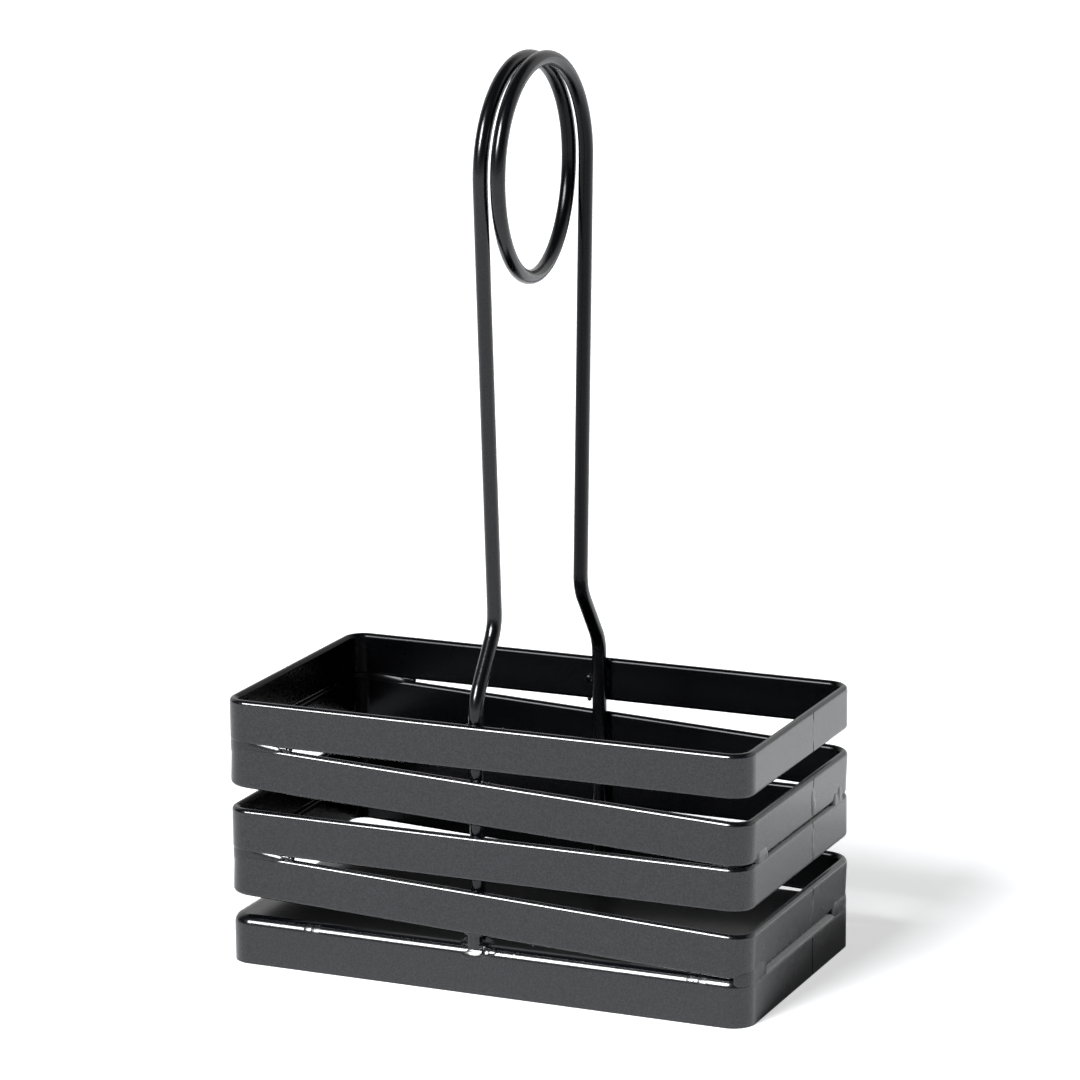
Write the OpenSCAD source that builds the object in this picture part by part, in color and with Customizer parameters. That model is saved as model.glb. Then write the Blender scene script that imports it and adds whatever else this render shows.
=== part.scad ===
// Sugar packet holder: four strip hoops stacked in a zig-zag on a pressed base pan,
// with a wire handle that makes one and a half turns at its top.
// X runs along the basket with the jointed ends at +X, Y from front to rear, Z up from the table.

/* [Basket] */
// Outside length of the hoops
basket_l = 159; // [120:1:220]
// Outside width of the hoops
basket_w = 84; // [70:1:130]
// Outside radius of the bent corners
corner_r = 6.5; // [5:0.5:14]
// Height of the strip
strip_h = 12.7; // [10:0.1:20]
// Thickness of the strip, which has fully rounded edges
strip_t = 2.5; // [1.5:0.1:3]
// Difference in height between the two ends of a tilted hoop
hoop_rise = 6.5; // [3:0.1:10]

/* [Butt joints] */
// Distance of the butt joints behind the middle of the right end
joint_y = 9; // [0:0.5:20]
// Width of the joint line
joint_line_w = 0.5; // [0.3:0.1:0.8]
// Depth of the joint line
joint_line_depth = 0.25; // [0.1:0.05:0.4]

/* [Base pan] */
// Height of the pan from the table to its floor
pan_h = 14; // [10:0.5:25]
// Thickness of the sheet
pan_t = 1.5; // [0.8:0.1:2]
// Outside radius of the edge between floor and skirt
pan_edge_r = 3; // [2.2:0.1:5]

/* [Handle] */
// Diameter of the wire
wire_d = 4.2; // [3:0.1:5]
// Radius of the loop, to the middle of the wire
loop_r = 30.2; // [22:0.1:36]
// Height of the loop's centre
loop_z = 227; // [190:1:260]
// Distance between the loop's two turns, middle to middle
turn_pitch = 5.2; // [5.1:0.1:7]
// Distance of each leg from the middle plane where it bends outwards
neck_y = 24; // [14:0.5:26]
// Height at which the legs bend outwards
neck_z = 102; // [98:1:120]
// Height at which the legs reach the basket's walls
wall_z = 83.5; // [80:0.5:88]
// Radius of the leg bends, to the middle of the wire
bend_r = 12; // [6:0.5:13]

/* [Welds] */
// How far the welds in the grooves between touching ends lie behind the outer faces
fill_recess = 0.4; // [0.3:0.05:0.5]
// Length of each of those welds along the end walls
fill_l = 6.5; // [4:0.5:12]
// Distance of those welds from the bends
fill_gap = 3; // [1:0.5:6]
// Length of the left welds along the long walls, from the bends
fill_run = 14; // [8:0.5:20]
// Radius of the drop that ends each of those runs
drop_r = 1.1; // [0.9:0.05:1.2]
// Radius of the beads between the legs and the hoops
leg_bead_r = 1; // [0.7:0.05:1.3]
// Length of each of those beads
leg_bead_l = 7; // [4:0.5:9]
// Radius of the puddle around each leg's foot
foot_puddle_r = 4.3; // [3.5:0.1:4.5]
// Height of that puddle
foot_puddle_h = 1.6; // [1:0.1:2]
// Radius of the drop that hangs from it over the pan's edge
foot_drop_r = 4; // [3.5:0.1:4.5]
// How far that drop stands out of the pan's skirt
foot_drop_proud = 0.5; // [0.2:0.1:0.8]
// How far that drop's middle lies below the pan's floor
foot_drop_fall = 2.2; // [2:0.1:3]
// Radius of the ground welds over the butt joints of the second and third hoops
seam_r = 2; // [1.5:0.1:3]
// How far those welds stand out of the end walls
seam_proud = 0.14; // [0.1:0.02:0.3]

/* [Hidden] */
$fn = 64;
finish = [0.2, 0.2, 0.21];
weld_finish = [0.17, 0.17, 0.18];

// Strip section, measured to the centres of its rounded edges
edge_r = strip_t / 2;
half_web = strip_h / 2 - edge_r;
half_span = basket_l / 2 - edge_r;
half_depth = basket_w / 2 - edge_r;

// Tilt of the second and fourth hoops, and the climb from a tilted hoop's middle to its touching edges
tilt = asin(hoop_rise / (2 * half_span));
climb = half_span * sin(tilt) + half_web * cos(tilt);

// Heights of the hoops' middles: each touching pair of edges lies one strip thickness apart
low_edge_x = half_span * cos(tilt) - half_web * sin(tilt);
pan_edge_x = basket_l / 2 - pan_edge_r;
pan_reach = pan_edge_r + edge_r;
pan_seat_z = pan_h - pan_edge_r + sqrt(pow(pan_reach, 2) - pow(low_edge_x - pan_edge_x, 2));
lower_z = pan_seat_z + climb;
middle_z = lower_z + climb + strip_t + half_web;
upper_z = middle_z + half_web + strip_t + climb;
top_z = upper_z + climb + strip_t + half_web;
hoop_heights = [lower_z, middle_z, upper_z, top_z];

// Welds in the grooves: depth of their inner faces, and their end towards the middle of the end walls
fill_depth = 0.8 * edge_r;
fill_end_y = basket_w / 2 - corner_r - fill_gap - fill_l;

// Handle: legs stand against the inside of the long walls and are tangent to the loop
wire_r = wire_d / 2;
leg_y = basket_w / 2 - strip_t - wire_r;
loop_rise = loop_z - neck_z;
loop_reach = norm([neck_y, loop_rise]);
leg_lean = asin(loop_r / loop_reach) - atan2(neck_y, loop_rise);
leg_run = sqrt(pow(loop_reach, 2) - pow(loop_r, 2));
wall_turn = atan2(leg_y - neck_y, neck_z - wall_z);
neck_turn = wall_turn + leg_lean;
wall_trim = bend_r * tan(wall_turn / 2);
neck_trim = bend_r * tan(neck_turn / 2);
shoulder_run = norm([leg_y - neck_y, neck_z - wall_z]) - wall_trim - neck_trim;
cross_turn_r = norm([loop_r, turn_pitch / 2]);
cross_turn_yaw = atan2(turn_pitch / 2, loop_r);

// Straights and the crossing turn are a hair slimmer than the bends they lap into, so all fuse into one wire
lap_slim = 0.04;
lap = 0.1;
lap_turn = lap / cross_turn_r * 180 / PI;

// Section of the strip, standing on its middle with its outer face on the Y axis
module strip_section() {
    translate([-strip_t, -half_web])
        square([strip_t, 2 * half_web]);
    for (side = [-1, 1])
        translate([-edge_r, side * half_web])
            circle(r = edge_r);
}

// One straight wall of a hoop, centred, with its outer face on the YZ plane
module strip_wall(length) {
    rotate([90, 0, 0])
        linear_extrude(height = length, center = true)
            strip_section();
}

// One bent corner of a hoop, from the X direction round to the Y direction
module strip_corner() {
    rotate_extrude(angle = 90)
        translate([corner_r, 0])
            strip_section();
}

// Shallow line down the right end wall where the two ends of the strip meet
module joint_line(height) {
    translate([basket_l / 2, joint_y, 0])
        cube([2 * joint_line_depth, joint_line_w, height], center = true);
}

// Closed hoop centred on its own middle
module hoop_ring() {
    for (side = [-1, 1]) {
        rotate([0, 0, 90 - 90 * side])
            translate([basket_l / 2, 0, 0])
                strip_wall(basket_w - 2 * corner_r);
        rotate([0, 0, 90 * side])
            translate([basket_w / 2, 0, 0])
                strip_wall(basket_l - 2 * corner_r);
    }
    for (x_side = [-1, 1], y_side = [-1, 1])
        mirror([x_side < 0 ? 1 : 0, 0, 0])
            mirror([0, y_side < 0 ? 1 : 0, 0])
                translate([basket_l / 2 - corner_r, basket_w / 2 - corner_r, 0])
                    strip_corner();
}

module hoop() {
    difference() {
        hoop_ring();
        joint_line(2 * strip_h);
    }
}

module level_hoop(z) {
    translate([0, 0, z])
        hoop();
}

// Hoop with its right end lowered
module tilted_hoop(z) {
    translate([0, 0, z])
        rotate([0, tilt, 0])
            hoop();
}

// Rectangle with rounded corners, shrunk all round
module rounded_plan(length, width, side_r, shrink) {
    inner_x = length / 2 - side_r;
    inner_y = width / 2 - side_r;
    for (x = [-1, 1], y = [-1, 1])
        translate([x * inner_x, y * inner_y])
            circle(r = side_r - shrink);
    square([length - 2 * shrink, 2 * inner_y], center = true);
    square([2 * inner_x, width - 2 * shrink], center = true);
}

// Upright block with rounded corners and a rounded top edge, standing on the XY plane
module rounded_block(length, width, height, side_r, edge) {
    inner_x = length / 2 - side_r;
    inner_y = width / 2 - side_r;
    wall_h = height - edge;
    linear_extrude(height = wall_h)
        rounded_plan(length, width, side_r, 0);
    linear_extrude(height = height)
        rounded_plan(length, width, side_r, edge);
    for (x = [-1, 1], y = [-1, 1])
        translate([x * inner_x, y * inner_y, wall_h])
            rotate_extrude()
                intersection() {
                    translate([side_r - edge, 0])
                        circle(r = edge);
                    square([side_r, edge]);
                }
    for (y = [-1, 1])
        translate([0, y * (width / 2 - edge), wall_h])
            rotate([0, 90, 0])
                cylinder(r = edge, h = 2 * inner_x, center = true);
    for (x = [-1, 1])
        translate([x * (length / 2 - edge), 0, wall_h])
            rotate([90, 0, 0])
                cylinder(r = edge, h = 2 * inner_y, center = true);
}

// Outside of the pan as a full block
module pan_block() {
    rounded_block(basket_l, basket_w, pan_h, corner_r, pan_edge_r);
}

module base_pan() {
    color(finish)
        difference() {
            pan_block();
            translate([0, 0, -pan_t])
                rounded_block(basket_l - 2 * pan_t, basket_w - 2 * pan_t, pan_h,
                    corner_r - pan_t, pan_edge_r - pan_t);
            joint_line(2 * (pan_h - pan_edge_r));
        }
}

module lower_tilted_hoop() {
    color(finish)
        tilted_hoop(lower_z);
}

module middle_hoop() {
    color(finish)
        level_hoop(middle_z);
}

module upper_tilted_hoop() {
    color(finish)
        tilted_hoop(upper_z);
}

module top_hoop() {
    color(finish)
        level_hoop(top_z);
}

// Straight wire from the origin along +Y, lapping into the bends at its ends
module wire_straight(length, start_lap = lap) {
    translate([0, -start_lap, 0])
        rotate([-90, 0, 0])
            cylinder(d = wire_d - lap_slim, h = length + start_lap + lap);
}

// Wire that leaves the origin along +Y and turns towards -X
module wire_bend(turn) {
    translate([-bend_r, 0, 0])
        wire_arc(bend_r, turn, wire_d);
}

// Where the next stretch of wire starts after such a bend
module after_bend(turn) {
    translate([-bend_r, 0, 0])
        rotate([0, 0, turn])
            translate([bend_r, 0, 0])
                children();
}

// Wire on an arc about Z, from +X
module wire_arc(radius, turn, thickness) {
    rotate_extrude(angle = turn)
        translate([radius, 0])
            circle(d = thickness);
}

// Leg in the XY plane: up the wall, in to the neck and on to the loop
module leg() {
    wall_run = wall_z - pan_h - wall_trim;
    translate([leg_y, pan_h, 0]) {
        wire_straight(wall_run, 0);
        translate([0, wall_run, 0]) {
            wire_bend(wall_turn);
            after_bend(wall_turn) {
                wire_straight(shoulder_run);
                translate([0, shoulder_run, 0])
                    mirror([1, 0, 0]) {
                        wire_bend(neck_turn);
                        after_bend(neck_turn)
                            wire_straight(leg_run - neck_trim);
                    }
            }
        }
    }
}

// Stands a shape drawn in the XY plane upright, across the basket
module stand_across() {
    rotate([90, 0, 90])
        children();
}

// Rear leg with the second turn of the loop, which it meets over the top
module rear_half() {
    translate([turn_pitch / 2, 0, 0])
        stand_across() {
            leg();
            translate([0, loop_z, 0])
                rotate([0, 0, -leg_lean])
                    wire_arc(loop_r, 180 + leg_lean, wire_d);
        }
}

// Lower half of the loop, which crosses from the first turn to the second
module cross_turn() {
    translate([0, 0, loop_z])
        rotate([0, 0, cross_turn_yaw])
            stand_across()
                rotate([0, 0, 180 - lap_turn])
                    wire_arc(cross_turn_r, 180 + 2 * lap_turn, wire_d - lap_slim);
}

module handle_wire() {
    color(finish) {
        rear_half();
        rotate([0, 0, 180])
            rear_half();
        cross_turn();
    }
}

// Bead with round ends, along Z and centred
module bead(radius, length) {
    cylinder(r = radius, h = length - 2 * radius, center = true);
    for (side = [-1, 1])
        translate([0, 0, side * (length / 2 - radius)])
            sphere(r = radius);
}

// Height of a tilted hoop's upper edge centre above its middle, at distance x from the middle plane
function tilted_edge_z(x) = half_web * cos(tilt) - (x - half_web * sin(tilt)) * tan(tilt);

// Welds that fill the groove round the left corners above a tilted hoop and run out along the long walls
module left_welds(tilted_z, level_z) {
    run_x = corner_r - basket_l / 2 + fill_run;
    top_edge_z = level_z - half_web;
    low_edge_z = tilted_z + tilted_edge_z(run_x);
    difference() {
        for (side = [-1, 1]) {
            intersection() {
                translate([0, 0, low_edge_z])
                    linear_extrude(height = top_edge_z - low_edge_z)
                        difference() {
                            rounded_plan(basket_l, basket_w, corner_r, fill_recess);
                            rounded_plan(basket_l, basket_w, corner_r, fill_depth);
                        }
                translate([run_x - basket_l, side * (fill_end_y + basket_w / 2) - basket_w / 2, 0])
                    cube([basket_l, basket_w, loop_z]);
            }
            translate([run_x, side * half_depth, (top_edge_z + low_edge_z) / 2])
                sphere(r = drop_r);
        }
        tilted_hoop(tilted_z);
        level_hoop(level_z);
    }
}

module left_upper_welds() {
    color(weld_finish)
        left_welds(upper_z, top_z);
}

module left_lower_welds() {
    color(weld_finish)
        left_welds(lower_z, middle_z);
}

// Bars in the groove of the right end, one near each corner, between two heights
module right_fills(low_z, high_z) {
    for (side = [-1, 1])
        translate([basket_l / 2 - fill_depth, side * (fill_end_y + fill_l / 2) - fill_l / 2, low_z])
            cube([fill_depth - fill_recess, fill_l, high_z - low_z]);
}

module right_upper_welds() {
    color(weld_finish)
        difference() {
            right_fills(middle_z + half_web, middle_z + half_web + strip_t);
            level_hoop(middle_z);
            tilted_hoop(upper_z);
        }
}

module right_lower_welds() {
    color(weld_finish)
        difference() {
            right_fills(pan_h - pan_edge_r, pan_seat_z);
            pan_block();
            tilted_hoop(lower_z);
        }
}

// Beads on both sides of the rear leg, one pair at each hoop
module leg_beads() {
    difference() {
        for (side = [-1, 1], z = hoop_heights)
            translate([turn_pitch / 2 + side * (wire_r - leg_bead_r / 5), leg_y + wire_r - leg_bead_r / 2, z])
                bead(leg_bead_r, leg_bead_l);
        rear_half();
        for (z = [middle_z, top_z])
            level_hoop(z);
        for (z = [lower_z, upper_z])
            tilted_hoop(z);
    }
}

module rear_leg_welds() {
    color(weld_finish)
        leg_beads();
}

module front_leg_welds() {
    color(weld_finish)
        rotate([0, 0, 180])
            leg_beads();
}

// Low puddle of weld metal around each leg's foot, with a drop that hangs over the pan's edge
module foot_welds() {
    cap_r = (pow(foot_puddle_r, 2) + pow(foot_puddle_h, 2)) / (2 * foot_puddle_h);
    drop_y = basket_w / 2 + foot_drop_proud - foot_drop_r;
    color(weld_finish)
        for (turn = [0, 180])
            rotate([0, 0, turn])
                difference() {
                    union() {
                        intersection() {
                            translate([turn_pitch / 2, leg_y, pan_h + foot_puddle_h - cap_r])
                                sphere(r = cap_r);
                            cube([basket_l, basket_w, 2 * loop_z], center = true);
                            translate([0, 0, pan_h])
                                cube([basket_l, 2 * basket_w, 2 * foot_puddle_h], center = true);
                        }
                        translate([turn_pitch / 2, drop_y, pan_h - foot_drop_fall])
                            sphere(r = foot_drop_r);
                    }
                    pan_block();
                    translate([turn_pitch / 2, leg_y, 0])
                        cylinder(d = wire_d - lap_slim, h = loop_z);
                    tilted_hoop(lower_z);
                }
}

// Low ground weld in and over a hoop's butt joint
module seam_weld() {
    difference() {
        intersection() {
            translate([basket_l / 2 + seam_proud - seam_r, joint_y, 0])
                bead(seam_r, strip_h, $fn = 4 * $fn);
            translate([basket_l / 2 - joint_line_depth, -basket_w / 2, -strip_h / 2])
                cube([strip_t, basket_w, strip_h]);
        }
        hoop();
    }
}

module seam_welds() {
    color(weld_finish) {
        translate([0, 0, middle_z])
            seam_weld();
        translate([0, 0, upper_z])
            rotate([0, tilt, 0])
                seam_weld();
    }
}

base_pan();
lower_tilted_hoop();
middle_hoop();
upper_tilted_hoop();
top_hoop();
handle_wire();
left_upper_welds();
left_lower_welds();
right_upper_welds();
right_lower_welds();
front_leg_welds();
rear_leg_welds();
foot_welds();
seam_welds();
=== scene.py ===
import math
import bpy
from mathutils import Matrix, Vector


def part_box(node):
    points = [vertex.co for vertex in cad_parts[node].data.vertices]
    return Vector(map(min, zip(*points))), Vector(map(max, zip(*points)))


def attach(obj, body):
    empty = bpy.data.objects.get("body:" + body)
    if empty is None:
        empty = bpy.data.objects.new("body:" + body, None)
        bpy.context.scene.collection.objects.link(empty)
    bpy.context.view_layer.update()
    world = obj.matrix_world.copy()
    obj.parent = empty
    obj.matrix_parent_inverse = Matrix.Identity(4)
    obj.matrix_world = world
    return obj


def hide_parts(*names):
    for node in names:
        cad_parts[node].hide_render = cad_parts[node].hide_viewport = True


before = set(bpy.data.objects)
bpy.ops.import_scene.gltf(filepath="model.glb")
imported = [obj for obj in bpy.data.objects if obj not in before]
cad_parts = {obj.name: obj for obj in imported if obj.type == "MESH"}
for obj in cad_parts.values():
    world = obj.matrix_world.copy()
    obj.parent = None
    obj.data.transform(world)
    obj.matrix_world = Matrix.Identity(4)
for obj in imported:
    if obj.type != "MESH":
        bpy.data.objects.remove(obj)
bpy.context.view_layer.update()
print("frame loaded with", len(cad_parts), "nodes")

mm = 0.001


def metres(values):
    return [mm * value for value in values]


def link(tree, a, b):
    tree.links.new(a, b)


def addNode(tree, kind, **values):
    node = tree.nodes.new(kind)
    for key, value in values.items():
        setattr(node, key, value)
    return node


# a socket takes a plain number or what another node gives
def feed(tree, socket, value):
    if isinstance(value, (int, float)):
        socket.default_value = value
    else:
        link(tree, value, socket)


def combine(tree, operation, *values, clamp=False):
    node = addNode(tree, "ShaderNodeMath", operation=operation, use_clamp=clamp)
    for socket, value in zip(node.inputs, values):
        feed(tree, socket, value)
    return node.outputs["Value"]


def ramp(tree, value, low, high, atLow=0.0, atHigh=1.0, kind="LINEAR"):
    node = addNode(tree, "ShaderNodeMapRange", interpolation_type=kind)
    given = {"Value": value, "From Min": low, "From Max": high, "To Min": atLow, "To Max": atHigh}
    for name, amount in given.items():
        feed(tree, node.inputs[name], amount)
    return node.outputs["Result"]


def fade(tree, value, low, high, atLow, atHigh):
    return ramp(tree, value, low, high, atLow, atHigh, "SMOOTHSTEP")


# fine grain, orange peel and slow mottling of a baked powder coat; places are in metres
powder = {
    "grainDetail": 2.0,
    "peelDetail": 1.0,
    "mottleDetail": 3.0,
    "mottleScale": 38.0,
    "grainSpan": (0.34, 0.68),
    "grainShare": 0.6,
    "mottleShare": 0.45,
    "glossSpan": (0.3, 0.7),
    "leastFilm": 0.70,              # film left between the grains
    "grainRelief": 0.35,
    "insideTurn": (-0.02, 0.0),     # below these a face looks into the basket
    # painted shade: the share of lit tone and coat kept where a face looks into the basket
    "insideLitShare": 0.03,
    "floorX": (0.0755, 0.0770),     # where the pan's flat top passes into its edge
    "floorY": (0.0380, 0.0395),
    # painted shade on the pan's floor at its strongest
    "floorShade": 0.9,
    "floorDull": 0.35,
    "rightEnd": (0.0, 0.055, 1.0, 0.62),        # the painted floor shade weakens towards both ends
    "leftEnd": (-0.074, -0.056, 0.30, 1.0),
    "tint": (0.92, 0.95, 1.0, 1.0),
}


def addNoise(tree, source, scaleName, detail):
    noise = addNode(tree, "ShaderNodeTexNoise")
    noise.inputs["Detail"].default_value = detail
    link(tree, source.outputs["Place"], noise.inputs["Vector"])
    link(tree, source.outputs[scaleName], noise.inputs["Scale"])
    return noise.outputs["Fac"]


def buildPowderGroup():
    tree = bpy.data.node_groups.new("powderGrain", "ShaderNodeTree")
    for name, way, kind in (
        ("Place", "INPUT", "Vector"), ("Grain Scale", "INPUT", "Float"), ("Peel Scale", "INPUT", "Float"),
        ("Mottle Scale", "INPUT", "Float"), ("Deep Tone", "INPUT", "Color"), ("Lit Tone", "INPUT", "Color"),
        ("Smooth", "INPUT", "Float"), ("Rough", "INPUT", "Float"), ("Floor Shade", "INPUT", "Float"),
        ("Color", "OUTPUT", "Color"), ("Roughness", "OUTPUT", "Float"), ("Gloss", "OUTPUT", "Float"),
        ("Height", "OUTPUT", "Float"),
    ):
        tree.interface.new_socket(name=name, in_out=way, socket_type="NodeSocket" + kind)
    source = addNode(tree, "NodeGroupInput")
    result = addNode(tree, "NodeGroupOutput")

    grain = addNoise(tree, source, "Grain Scale", powder["grainDetail"])
    peel = addNoise(tree, source, "Peel Scale", powder["peelDetail"])
    mottle = addNoise(tree, source, "Mottle Scale", powder["mottleDetail"])
    grainMask = ramp(tree, grain, *powder["grainSpan"])
    slow = combine(tree, "MULTIPLY", mottle, powder["mottleShare"])
    toneMask = combine(tree, "MULTIPLY_ADD", grainMask, powder["grainShare"], slow, clamp=True)
    gloss = ramp(tree, mottle, *powder["glossSpan"], source.outputs["Smooth"], source.outputs["Rough"])

    # painted shade: a face that looks into the basket keeps only a little of the lit tone and of the coat, so
    # the inside reads dark
    facing = addNode(tree, "ShaderNodeNewGeometry")
    flat = addNode(tree, "ShaderNodeVectorMath", operation="MULTIPLY")
    flat.inputs[1].default_value = (1, 1, 0)
    link(tree, source.outputs["Place"], flat.inputs[0])
    turned = addNode(tree, "ShaderNodeVectorMath", operation="DOT_PRODUCT")
    link(tree, flat.outputs["Vector"], turned.inputs[0])
    link(tree, facing.outputs["Normal"], turned.inputs[1])
    awayFromInsideShade = fade(tree, turned.outputs["Value"], *powder["insideTurn"], powder["insideLitShare"], 1.0)

    # painted shade on the pan's floor: its tone goes deep and its coat thin, most of all in its middle, and
    # it is also rougher there
    reach = addNode(tree, "ShaderNodeVectorMath", operation="ABSOLUTE")
    link(tree, source.outputs["Place"], reach.inputs[0])
    across = addNode(tree, "ShaderNodeSeparateXYZ")
    link(tree, reach.outputs["Vector"], across.inputs["Vector"])
    along = addNode(tree, "ShaderNodeSeparateXYZ")
    link(tree, source.outputs["Place"], along.inputs["Vector"])
    onFloor = combine(tree, "MULTIPLY",
                      fade(tree, across.outputs["X"], *powder["floorX"], powder["floorShade"], 0.0),
                      fade(tree, across.outputs["Y"], *powder["floorY"], 1.0, 0.0))
    ends = combine(tree, "MULTIPLY", fade(tree, along.outputs["X"], *powder["rightEnd"]),
                   fade(tree, along.outputs["X"], *powder["leftEnd"]))
    shade = combine(tree, "MULTIPLY", combine(tree, "MULTIPLY", onFloor, ends), source.outputs["Floor Shade"])
    clearOfPaintedShade = combine(tree, "SUBTRACT", awayFromInsideShade, shade, clamp=True)

    # the tone changes at random with grain and mottle, and turns to the deep tone where painted shade lies
    tone = addNode(tree, "ShaderNodeMix", data_type="RGBA")
    link(tree, combine(tree, "MULTIPLY", toneMask, clearOfPaintedShade), tone.inputs["Factor"])
    link(tree, source.outputs["Deep Tone"], tone.inputs[6])
    link(tree, source.outputs["Lit Tone"], tone.inputs[7])
    film = ramp(tree, grainMask, 0.0, 1.0, powder["leastFilm"], 1.0)
    link(tree, tone.outputs[2], result.inputs["Color"])
    link(tree, combine(tree, "MULTIPLY_ADD", shade, powder["floorDull"], gloss), result.inputs["Roughness"])
    # the coat thins at random between the grains, and mostly goes where painted shade lies
    link(tree, combine(tree, "MULTIPLY", film, clearOfPaintedShade), result.inputs["Gloss"])
    link(tree, combine(tree, "MULTIPLY_ADD", grain, powder["grainRelief"], peel), result.inputs["Height"])
    return tree


powderGrain = buildPowderGroup()

# black powder coat of the strips, the pan, the wire and the weld metal
coats = {
    "strip_coat": {"deep": (0.0004, 0.0005, 0.0007), "lit": (0.0020, 0.0024, 0.0052), "grain": 2300.0,
                   "peel": 620.0, "smooth": 0.21, "rough": 0.29, "bump": 0.00003,
                   "ior": 1.26, "film": 0.16, "filmIor": 1.82, "floorShade": 0.0},
    "pan_coat": {"deep": (0.0004, 0.0005, 0.0007), "lit": (0.0020, 0.0024, 0.0052), "grain": 2100.0,
                 "peel": 560.0, "smooth": 0.21, "rough": 0.29, "bump": 0.00004,
                 "ior": 1.26, "film": 0.16, "filmIor": 1.82, "floorShade": 1.0},
    "wire_coat": {"deep": (0.0004, 0.0005, 0.0007), "lit": (0.0018, 0.0021, 0.0040), "grain": 2400.0,
                  "peel": 700.0, "smooth": 0.20, "rough": 0.28, "bump": 0.00003,
                  "ior": 1.34, "film": 0.16, "filmIor": 1.50, "floorShade": 0.0},
    "weld_coat": {"deep": (0.0004, 0.0005, 0.0007), "lit": (0.0018, 0.0021, 0.0040), "grain": 2400.0,
                  "peel": 480.0, "smooth": 0.24, "rough": 0.34, "bump": 0.00004,
                  "ior": 1.30, "film": 0.20, "filmIor": 1.74, "floorShade": 0.0},
}


def makeCoat(name, coat):
    material = bpy.data.materials.new(name + "_powder")
    material.use_nodes = True
    tree = material.node_tree
    tree.nodes.clear()
    out = addNode(tree, "ShaderNodeOutputMaterial")
    shader = addNode(tree, "ShaderNodeBsdfPrincipled")
    place = addNode(tree, "ShaderNodeTexCoord")
    surface = addNode(tree, "ShaderNodeGroup", node_tree=powderGrain)
    surface.inputs["Grain Scale"].default_value = coat["grain"]
    surface.inputs["Peel Scale"].default_value = coat["peel"]
    surface.inputs["Mottle Scale"].default_value = powder["mottleScale"]
    surface.inputs["Deep Tone"].default_value = coat["deep"] + (1.0,)
    surface.inputs["Lit Tone"].default_value = coat["lit"] + (1.0,)
    surface.inputs["Smooth"].default_value = coat["smooth"]
    surface.inputs["Rough"].default_value = coat["rough"]
    surface.inputs["Floor Shade"].default_value = coat["floorShade"]
    shader.inputs["IOR"].default_value = coat["ior"]
    shader.inputs["Specular Tint"].default_value = powder["tint"]
    shader.inputs["Coat IOR"].default_value = coat["filmIor"]
    shader.inputs["Coat Roughness"].default_value = coat["film"]
    bump = addNode(tree, "ShaderNodeBump")
    bump.inputs["Strength"].default_value = 1.0
    bump.inputs["Distance"].default_value = coat["bump"]
    link(tree, place.outputs["Object"], surface.inputs["Place"])
    link(tree, surface.outputs["Height"], bump.inputs["Height"])
    link(tree, surface.outputs["Color"], shader.inputs["Base Color"])
    link(tree, surface.outputs["Roughness"], shader.inputs["Roughness"])
    link(tree, surface.outputs["Gloss"], shader.inputs["Coat Weight"])
    link(tree, bump.outputs["Normal"], shader.inputs["Normal"])
    link(tree, shader.outputs["BSDF"], out.inputs["Surface"])
    return material


coatOf = {name: makeCoat(name, coat) for name, coat in coats.items()}


def slotOf(node):
    if node == "handle_wire":
        return "wire_coat"
    if node == "base_pan":
        return "pan_coat"
    if node.endswith("_welds"):
        return "weld_coat"
    return "strip_coat"


for node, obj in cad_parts.items():
    for slot in obj.material_slots:
        slot.material = coatOf[slotOf(node)]
print("coats on", len(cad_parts), "nodes")

weldDrop = {
    "fineness": 3,
    "calm": 0.5,        # how far each settling pass evens the skin
}


# one drop of weld metal in the mesh being edited: millimetres, and degrees that it leans about X
def addDrop(place, size, lean=0.0):
    spot = metres(place)
    bpy.ops.mesh.primitive_ico_sphere_add(subdivisions=weldDrop["fineness"], radius=mm, location=spot)
    bpy.ops.transform.resize(value=size, center_override=spot)
    if lean:
        bpy.ops.transform.rotate(value=math.radians(-lean), orient_axis="X", center_override=spot)


# weld metal: drops are set down, run together in cells of some millimetres and left to settle
def meltDrops(name, drops, weld, node=None):
    bpy.ops.object.select_all(action="DESELECT")
    bpy.ops.mesh.primitive_plane_add(size=mm)
    melt = bpy.context.object
    melt.name = name
    bpy.ops.object.mode_set(mode="EDIT")
    bpy.ops.mesh.delete(type="VERT")
    for place, size, *lean in drops:
        addDrop(place, size, *lean)
    bpy.ops.object.mode_set(mode="OBJECT")
    pool = melt.modifiers.new("pool", "REMESH")
    pool.mode = "VOXEL"
    pool.voxel_size = mm * weld["cell"]
    bpy.ops.object.modifier_apply(modifier=pool.name)
    calm = melt.modifiers.new("calm", "SMOOTH")
    calm.factor = weldDrop["calm"]
    calm.iterations = weld["settle"]
    bpy.ops.object.modifier_apply(modifier=calm.name)
    bpy.ops.object.shade_smooth()
    melt.data.materials.clear()
    melt.data.materials.append(coatOf["weld_coat"])
    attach(melt, "root")
    if node:
        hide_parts(node)
    print(name, "melted from", len(drops), "drops into", len(melt.data.polygons), "faces")


# a drop list turned half round the basket's upright axis, for the rear
def turnRound(drops):
    return [((-x, -y, z), size, *[-v for v in lean]) for (x, y, z), size, *lean in drops]


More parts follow.
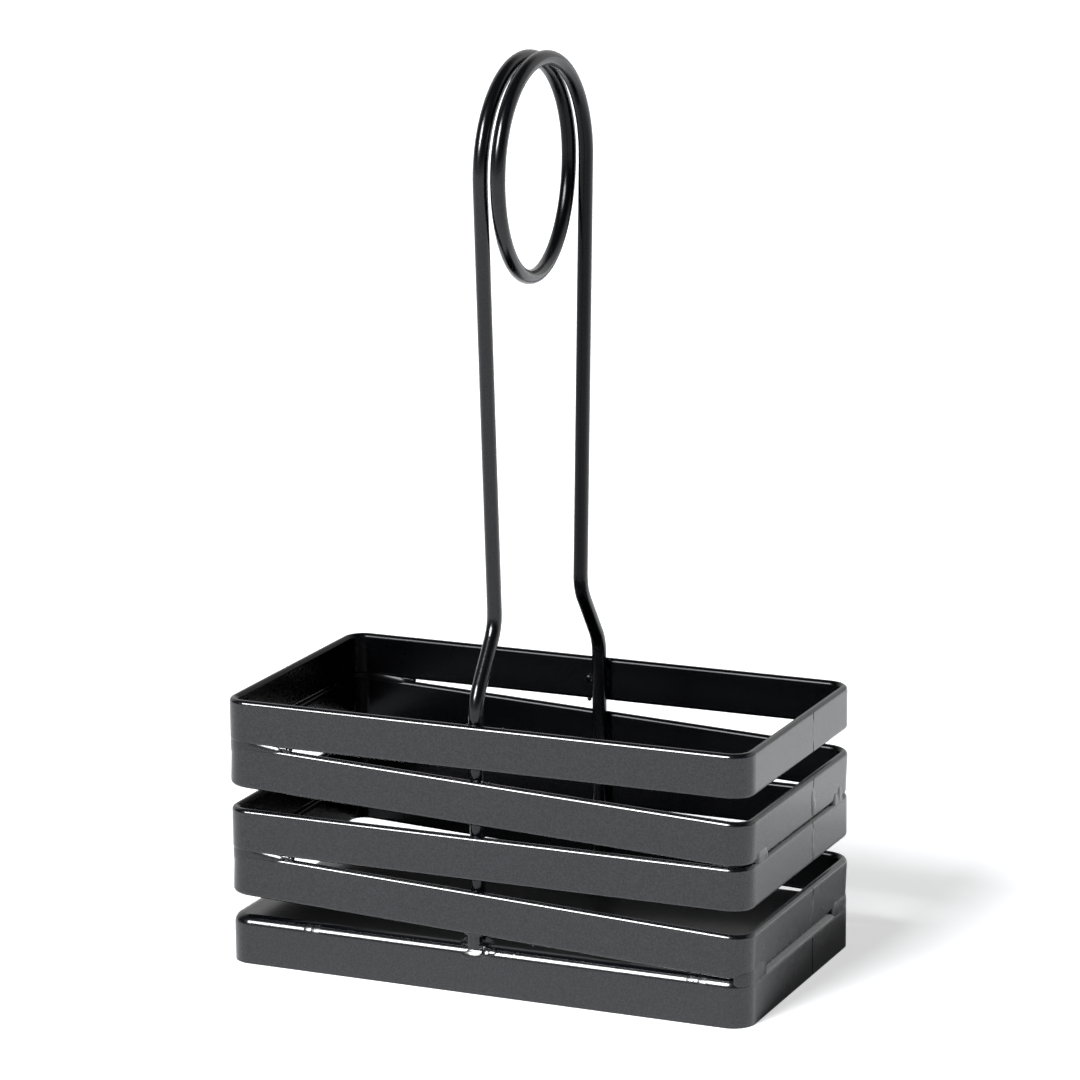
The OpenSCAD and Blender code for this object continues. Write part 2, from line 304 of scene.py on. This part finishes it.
# puddle, fillet, lip and spatter where each leg stands on the pan
footWeld = {
    "cell": 0.15,
    "settle": 24,
    "front": [
        ((-2.6, -38.0, 13.9), (5.0, 3.6, 1.3)),
        ((-3.2, -39.9, 15.2), (1.6, 1.9, 4.2)),          # fillet down the leg's front
        ((-2.0, -39.9, 15.2), (1.6, 1.9, 4.2)),
        ((-2.6, -40.3, 17.3), (3.5, 1.5, 1.2)),          # where it leaves the fourth hoop
        ((-2.9, -40.75, 11.9), (4.6, 2.3, 1.1), 50.0),   # lip over the pan's edge
        ((-3.6, -40.75, 11.7), (2.8, 2.3, 1.1), 50.0),
        ((1.6, -40.85, 12.5), (2.0, 2.0, 1.0), 50.0),
        ((3.2, -40.9, 12.6), (2.2, 1.3, 0.75), 50.0),
        ((-6.2, -39.3, 13.4), (1.4, 1.3, 1.1)),
    ],
    "rear": [
        ((-2.6, -38.0, 13.9), (4.7, 3.9, 1.3)),
        ((-2.5, -39.9, 15.2), (2.2, 1.8, 3.8)),
        ((-2.4, -40.3, 17.2), (3.2, 1.5, 1.3)),
        ((-2.3, -40.75, 11.9), (4.0, 2.3, 1.1), 50.0),
        ((-1.4, -40.75, 11.7), (2.4, 2.3, 1.1), 50.0),
        ((-5.8, -39.9, 13.2), (1.7, 1.5, 1.3)),
        ((-4.9, -38.9, 15.2), (2.0, 1.6, 1.5)),
        ((1.6, -39.4, 13.8), (1.4, 1.3, 1.1)),
    ],
}
meltDrops("footWelds", footWeld["front"] + turnRound(footWeld["rear"]), footWeld, "foot_welds")

# uneven beads down both sides of a leg, one pair on each hoop
legWeld = {
    "cell": 0.16,
    "settle": 14,
    "heights": (71.17, 55.22, 39.28, 23.33),
    "sides": (-4.35, -0.85),
    "face": -39.35,
    "steps": ((-2.9, 0.72, 0.85), (-1.7, 0.95, 1.0), (-0.6, 0.86, 1.1), (0.7, 1.02, 1.0), (1.9, 0.88, 0.95),
              (2.9, 0.66, 0.8)),        # rise, reach and half height of each drop
    "flatness": 0.9,
    "sway": (0.0, 0.14, -0.1, 0.12, -0.14, 0.06),
    "swayIn": 0.4,
    "rearBlobs": [      # turned round to the rear wall, so right and left are swapped here
        ((1.5, -39.3, 71.2), (1.5, 0.9, 1.3)),
        ((0.4, -39.2, 70.4), (0.8, 0.8, 0.8)),
        ((1.9, -40.5, 64.6), (0.7, 0.7, 0.75)),
        ((-0.3, -39.6, 76.7), (0.6, 0.6, 0.7)),
        ((-4.9, -39.6, 76.7), (0.6, 0.6, 0.7)),
    ],
}


def legBeads(shift):
    drops = []
    for row, height in enumerate(legWeld["heights"]):
        for sideNumber, x in enumerate(legWeld["sides"]):
            for count, (rise, reach, tall) in enumerate(legWeld["steps"]):
                turn = count + 2 * row + 3 * sideNumber + shift     # no two beads sway alike
                sway = legWeld["sway"][turn % len(legWeld["sway"])]
                drops.append(((x + sway, legWeld["face"] + legWeld["swayIn"] * sway, height + rise),
                              (reach, legWeld["flatness"] * reach, tall)))
    return drops


meltDrops("frontLegWelds", legBeads(0), legWeld, "front_leg_welds")
meltDrops("rearLegWelds", turnRound(legBeads(1) + legWeld["rearBlobs"]), legWeld, "rear_leg_welds")

# flush weld runs in the grooves between the hoops, swept ring by ring; millimetres
sweep = {
    "ringSides": 28,
    "pinch": 0.1,                   # first ring against the full one
    "wallSteps": 4,
    "bendPlace": (73.0, -35.5),     # middle of the right front bend
    "mergeGap": 0.04,
}


def startRing(name, middle, deep, tall):
    bpy.ops.object.select_all(action="DESELECT")
    spot = metres(middle)
    bpy.ops.mesh.primitive_circle_add(vertices=sweep["ringSides"], radius=mm, location=spot,
                                      rotation=(math.pi / 2, 0, 0))
    bpy.context.object.name = name
    bpy.ops.object.transform_apply(location=True, rotation=True, scale=True)
    bpy.ops.object.mode_set(mode="EDIT")
    bpy.ops.mesh.select_all(action="SELECT")
    bpy.ops.transform.resize(value=(deep, 1.0, tall), center_override=spot)
    return bpy.context.object


# one ring on: extrude, then widen or narrow it about its own middle
def nextRing(middle, step, grow):
    bpy.ops.mesh.extrude_region_move(TRANSFORM_OT_translate={"value": metres(step)})
    middle = [m + v for m, v in zip(middle, step)]
    bpy.ops.transform.resize(value=grow, center_override=metres(middle))
    return middle


# along an end wall, round the bend and on; side is -1 at the left end and 1 at the right end
def sweepRun(name, side, z, run):
    middle = [side * run["start"][0], run["start"][1], z]
    piece = startRing(name, middle, sweep["pinch"] * run["deep"], sweep["pinch"] * run["tall"])
    for step, grow in run["swell"]:
        middle = nextRing(middle, (0, -step, 0), (grow, 1, grow))
    stretch = (middle[1] - run["end"]) / sweep["wallSteps"]
    for count in range(sweep["wallSteps"]):
        middle = nextRing(middle, (0, -stretch, 0), (1, 1, 1))
    turn = math.radians(run["bend"])
    if turn:
        hubX, hubY = sweep["bendPlace"]
        reach = run["start"][0] - hubX
        bpy.ops.mesh.spin(steps=run["bendSteps"], angle=side * turn, axis=(0, 0, 1),
                          center=metres((side * hubX, hubY, z)))
        middle = [side * (hubX + reach * math.cos(turn)), hubY - reach * math.sin(turn), z]
    for step, deep, tall in run["tail"]:
        ahead = (-side * step * math.sin(turn), -step * math.cos(turn), -run["fall"] * step)
        middle = nextRing(middle, ahead, (deep, deep, tall))
    bpy.ops.mesh.select_all(action="SELECT")
    bpy.ops.mesh.remove_doubles(threshold=mm * sweep["mergeGap"])
    bpy.ops.mesh.fill_holes(sides=0)
    bpy.ops.mesh.normals_make_consistent(inside=False)
    bpy.ops.object.mode_set(mode="OBJECT")
    bpy.ops.object.shade_smooth()
    return piece


# a copy with its own mesh, moved down or turned over to the rear wall
def copyRun(source, name, drop, mirrored):
    bpy.ops.object.select_all(action="DESELECT")
    source.select_set(True)
    bpy.context.view_layer.objects.active = source
    bpy.ops.object.duplicate()
    copy = bpy.context.object
    copy.name = name
    copy.location = (0, 0, -mm * drop)
    copy.scale = (1, -1 if mirrored else 1, 1)
    bpy.ops.object.transform_apply(location=True, rotation=True, scale=True)
    if mirrored:
        bpy.ops.object.mode_set(mode="EDIT")
        bpy.ops.mesh.select_all(action="SELECT")
        bpy.ops.mesh.normals_make_consistent(inside=False)
        bpy.ops.object.mode_set(mode="OBJECT")
    return copy


def joinWeld(parts, node):
    bpy.ops.object.select_all(action="DESELECT")
    for part in parts:
        part.select_set(True)
    bpy.context.view_layer.objects.active = parts[0]
    bpy.ops.object.join()
    weld = bpy.context.object
    weld.data.materials.clear()
    weld.data.materials.append(coatOf["weld_coat"])
    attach(weld, "root")
    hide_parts(node)
    print(weld.name, "run has", len(weld.data.polygons), "faces")


# left runs: end wall, bend, and out along the long wall above a tilted hoop
leftRun = {
    "start": (78.25, -25.2),
    "end": -35.5,
    "hang": 1.1,            # middle of the run under the level hoop's edge
    "deep": 1.235,
    "tall": 5.0,
    "swell": ((0.2, 6.0), (0.6, 1.5), (0.9, 1.1)),           # step and growth from the pinched start
    "bend": 90.0,
    "bendSteps": 10,
    "fall": 0.0416,         # slope of the tilted hoop's edge
    "tail": ((1.5, 1.0, 0.80), (1.5, 0.99, 0.78), (1.5, 1.0, 0.92), (1.5, 1.0, 0.90), (1.5, 0.99, 0.92),
             (1.5, 0.99, 0.94), (1.4, 0.97, 0.93), (1.2, 0.92, 0.86), (0.7, 0.7, 0.7), (0.3, 0.1, 0.1)),
}
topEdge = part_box("top_hoop")[0][2] / mm             # lower edges of the two level hoops
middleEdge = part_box("middle_hoop")[0][2] / mm
lowerDrop = topEdge - middleEdge
upperFront = sweepRun("leftUpperWelds", -1, topEdge - leftRun["hang"], leftRun)
upperRear = copyRun(upperFront, "upperRear", 0.0, True)
lowerFront = copyRun(upperFront, "leftLowerWelds", lowerDrop, False)
lowerRear = copyRun(upperFront, "lowerRear", lowerDrop, True)
joinWeld([upperFront, upperRear], "left_upper_welds")
joinWeld([lowerFront, lowerRear], "left_lower_welds")

# lumpy tails where the left runs die out along the long walls
runTail = {
    "cell": 0.1,
    "settle": 10,
    "wall": 40.75,
    "corner": -78.4,
    "drops": ((-61.6, 2.8, 0.7, 0.85), (-59.2, 1.2, 0.75, 0.6)),     # place along X, then half sizes
}


def tailDrops():
    drops = []
    for edge in (topEdge, middleEdge):
        for side in (-1, 1):
            for x, *size in runTail["drops"]:
                low = 0.5 * leftRun["fall"] * (x - runTail["corner"])       # middle of the open wedge
                drops.append(((x, side * runTail["wall"], edge - low), size))
    return drops


meltDrops("runTails", tailDrops(), runTail)

# flat fills near the right corners
rightUpperRun = {
    "start": (78.25, -25.9),
    "end": -32.4,
    "deep": 1.24,
    "tall": 4.6,
    "swell": ((0.15, 6.0), (0.45, 1.5), (0.8, 1.11)),
    "bend": 0.0,
    "fall": 0.0,
    "tail": ((0.8, 0.92, 0.92), (0.6, 0.75, 0.75), (0.4, 0.5, 0.5), (0.2, 0.1, 0.1)),
}

# the lower ones run on into the bend
rightLowerRun = {
    "start": (78.75, -26.3),
    "end": -35.5,
    "hang": 0.5,            # middle of the run under the fourth hoop's edge
    "deep": 0.73,
    "tall": 3.4,
    "swell": ((0.15, 6.0), (0.45, 1.5), (0.8, 1.11)),
    "bend": 50.0,
    "bendSteps": 7,
    "fall": 0.0,
    "tail": ((0.8, 0.92, 0.92), (0.6, 0.75, 0.75), (0.4, 0.5, 0.5), (0.2, 0.1, 0.1)),
}
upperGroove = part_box("middle_hoop")[1][2] / mm          # where the second and third hoops touch
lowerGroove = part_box("lower_tilted_hoop")[0][2] / mm    # where the fourth hoop stands on the pan
upperRight = sweepRun("rightUpperWelds", 1, upperGroove, rightUpperRun)
lowerRight = sweepRun("rightLowerWelds", 1, lowerGroove - rightLowerRun["hang"], rightLowerRun)
joinWeld([upperRight, copyRun(upperRight, "upperRightRear", 0.0, True)], "right_upper_welds")
joinWeld([lowerRight, copyRun(lowerRight, "lowerRightRear", 0.0, True)], "right_lower_welds")

# low ridges ground over the butt joints of the second and third hoops
seamWeld = {
    "cell": 0.07,
    "settle": 8,
    "drops": [
        ((79.0, 8.8, 52.8), (0.63, 1.8, 4.6)),
        ((79.0, 9.7, 49.4), (0.64, 1.9, 3.2)),
        ((79.0, 8.8, 40.4), (0.63, 1.7, 4.4)),
        ((79.0, 9.2, 37.0), (0.65, 2.2, 3.4)),
    ],
}
meltDrops("seamWelds", seamWeld["drops"], seamWeld, "seam_welds")

# runs over the right fills, and the soft filling that leaves only a faint line at each butt joint
endRun = {
    "cell": 0.07,
    "settle": 6,
    "drops": [
        ((79.0, 27.6, 46.0), (0.58, 1.7, 2.8)),
        ((79.0, 30.9, 47.0), (0.59, 1.6, 3.4)),
        ((79.0, -27.2, 45.7), (0.57, 1.6, 2.0)),
        ((79.0, 9.0, 71.2), (0.56, 1.2, 5.8)),
        ((79.0, 9.0, 52.0), (0.56, 1.2, 5.8)),
        ((79.0, 9.0, 39.3), (0.56, 1.2, 5.8)),
        ((79.0, 9.0, 20.1), (0.56, 1.2, 5.8)),
    ],
}
meltDrops("endRuns", endRun["drops"], endRun)

# specks that flew from the welds on to the edges near them, and flat marks on the pan's edge
spatter = {
    "cell": 0.07,
    "settle": 10,
    "drops": [
        ((-3.7, -40.4, 77.3), (0.7, 0.6, 0.5)),
        ((-1.9, -40.6, 77.35), (0.6, 0.6, 0.5)),
        ((-1.2, -40.6, 61.55), (0.5, 0.5, 0.42)),
        ((0.6, -40.6, 61.5), (0.6, 0.5, 0.45)),
        ((2.6, -40.6, 61.4), (0.5, 0.5, 0.4)),
        ((7.0, -40.7, 77.4), (0.45, 0.5, 0.4)),
        ((15.6, -40.8, 16.25), (0.5, 0.5, 0.5)),
        ((-54.0, -40.94, 12.69), (2.4, 1.5, 0.50), 50.0),
        ((-51.6, -40.94, 12.67), (2.8, 1.6, 0.52), 50.0),
        ((62.8, -40.94, 12.69), (2.4, 1.5, 0.50), 50.0),
        ((66.4, -40.94, 12.67), (2.8, 1.6, 0.52), 50.0),
        ((9.8, -40.94, 12.69), (1.0, 0.9, 0.50), 50.0),
    ],
}
meltDrops("edgeSpatter", spatter["drops"], spatter)

# pale floor that gives a part of its white itself, so the shadow stays soft
paleFloor = {
    "size": 30.0,
    "drop": 0.0001,          # keeps the floor off the pan's rim
    "tone": (0.915, 0.93, 0.955),
    "rough": 0.9,
    "seenGlow": 0.60,
    "glossGlow": 0.02,
}


def buildFloor():
    bpy.ops.object.select_all(action="DESELECT")
    bpy.ops.mesh.primitive_plane_add(size=paleFloor["size"], location=(0, 0, -paleFloor["drop"]))
    floor = bpy.context.object
    floor.name = "paleFloor"
    material = bpy.data.materials.new("paleFloor")
    material.use_nodes = True
    tree = material.node_tree
    shader = tree.nodes["Principled BSDF"]
    shader.inputs["Base Color"].default_value = paleFloor["tone"] + (1.0,)
    shader.inputs["Roughness"].default_value = paleFloor["rough"]
    shader.inputs["Specular IOR Level"].default_value = 0.0
    shader.inputs["Emission Color"].default_value = (1, 1, 1, 1)
    path = addNode(tree, "ShaderNodeLightPath")
    through = combine(tree, "MAXIMUM", path.outputs["Is Glossy Ray"], path.outputs["Is Transmission Ray"])
    inGloss = combine(tree, "MULTIPLY", through, paleFloor["glossGlow"])
    glow = combine(tree, "MULTIPLY_ADD", path.outputs["Is Camera Ray"], paleFloor["seenGlow"], inGloss)
    link(tree, glow, shader.inputs["Emission Strength"])
    floor.data.materials.append(material)


# dim room with a pale horizon, and a white backdrop behind the basket
room = {
    "dim": 0.06,
    "horizon": 0.45,
    "horizonBand": (0.05, 0.20),        # heights and depths are parts of a view ray
    "backdrop": 0.70,
    "backdropDepth": (-0.10, 0.35),
    "backdropTop": (0.50, 0.90),
    "bounce": 0.07,                     # what the room gives to matt surfaces
}


def buildRoom():
    world = bpy.data.worlds.new("softStudio")
    bpy.context.scene.world = world
    world.use_nodes = True
    tree = world.node_tree
    tree.nodes.clear()
    out = addNode(tree, "ShaderNodeOutputWorld")
    sky = addNode(tree, "ShaderNodeBackground")
    place = addNode(tree, "ShaderNodeTexCoord")
    way = addNode(tree, "ShaderNodeSeparateXYZ")
    link(tree, place.outputs["Generated"], way.inputs["Vector"])
    band = fade(tree, way.outputs["Z"], *room["horizonBand"], room["horizon"], room["dim"])
    behind = fade(tree, way.outputs["Y"], *room["backdropDepth"], 0.0, room["backdrop"])
    low = fade(tree, way.outputs["Z"], *room["backdropTop"], 1.0, 0.0)
    shown = combine(tree, "MAXIMUM", band, combine(tree, "MULTIPLY", behind, low))
    path = addNode(tree, "ShaderNodeLightPath")
    seen = combine(tree, "MAXIMUM", path.outputs["Is Camera Ray"], path.outputs["Is Glossy Ray"])
    through = combine(tree, "MAXIMUM", seen, path.outputs["Is Transmission Ray"])
    level = addNode(tree, "ShaderNodeMix", data_type="FLOAT")
    level.inputs[2].default_value = room["bounce"]
    link(tree, through, level.inputs[0])
    link(tree, shown, level.inputs[3])
    link(tree, level.outputs[0], sky.inputs["Strength"])
    link(tree, sky.outputs["Background"], out.inputs["Surface"])


def lookFrom(azimuth, elevation):
    az, el = math.radians(azimuth), math.radians(elevation)
    return Vector((math.sin(az) * math.cos(el), -math.cos(az) * math.cos(el), math.sin(el)))


# softbox from the front left, and a small card that shows only in the right end's gloss
lamps = {
    "keyFrom": (-20.0, 35.0),       # azimuth from the front towards the right, elevation, degrees
    "keySpread": 26.0,
    "keyLevel": 4.7,
    "cardPlace": (0.15, 0.135, 0.047),
    "cardAim": (0.08, 0.0, 0.047),
    "cardSize": (0.18, 0.09),
    "cardPower": 0.011,
}


def buildLamps():
    bpy.ops.object.light_add(type="SUN", location=lookFrom(*lamps["keyFrom"]))
    key = bpy.context.object
    key.name = "keySoftbox"
    key.data.energy = lamps["keyLevel"]
    key.data.angle = math.radians(lamps["keySpread"])
    key.rotation_euler = (-key.location).to_track_quat("-Z", "Y").to_euler()
    bpy.ops.object.light_add(type="AREA", location=lamps["cardPlace"])
    card = bpy.context.object
    card.name = "sideCard"
    card.data.shape = "RECTANGLE"
    card.data.size, card.data.size_y = lamps["cardSize"]
    card.data.energy = lamps["cardPower"]
    card.visible_camera = False
    card.visible_diffuse = False    # only its reflection is wanted
    aim = Vector(lamps["cardAim"]) - Vector(lamps["cardPlace"])
    card.rotation_euler = aim.to_track_quat("-Z", "Y").to_euler()


# the photograph's view: degrees, metres, and millimetres for sensor and lens
photoView = {
    "azimuth": 23.893,
    "elevation": 13.28,
    "roll": -0.544,
    "distance": 1.2716,
    "target": (0.0007, 0.0, 0.12135),
    "lens": 150.76,
    "sensor": 36.0,
    "farthest": 100.0,
}


def buildCamera():
    away = lookFrom(photoView["azimuth"], photoView["elevation"])
    bpy.ops.object.camera_add(location=Vector(photoView["target"]) + away * photoView["distance"])
    camera = bpy.context.object
    camera.name = "photoCamera"
    camera.data.sensor_width = photoView["sensor"]
    camera.data.lens = photoView["lens"]
    camera.data.clip_end = photoView["farthest"]
    turn = (-away).to_track_quat("-Z", "Y").to_matrix().to_4x4()
    camera.rotation_euler = (turn @ Matrix.Rotation(math.radians(photoView["roll"]), 4, "Z")).to_euler()
    bpy.context.scene.camera = camera


buildFloor()
buildRoom()
buildLamps()
buildCamera()
bpy.context.scene.view_settings.view_transform = "Standard"
print("studio and camera ready")
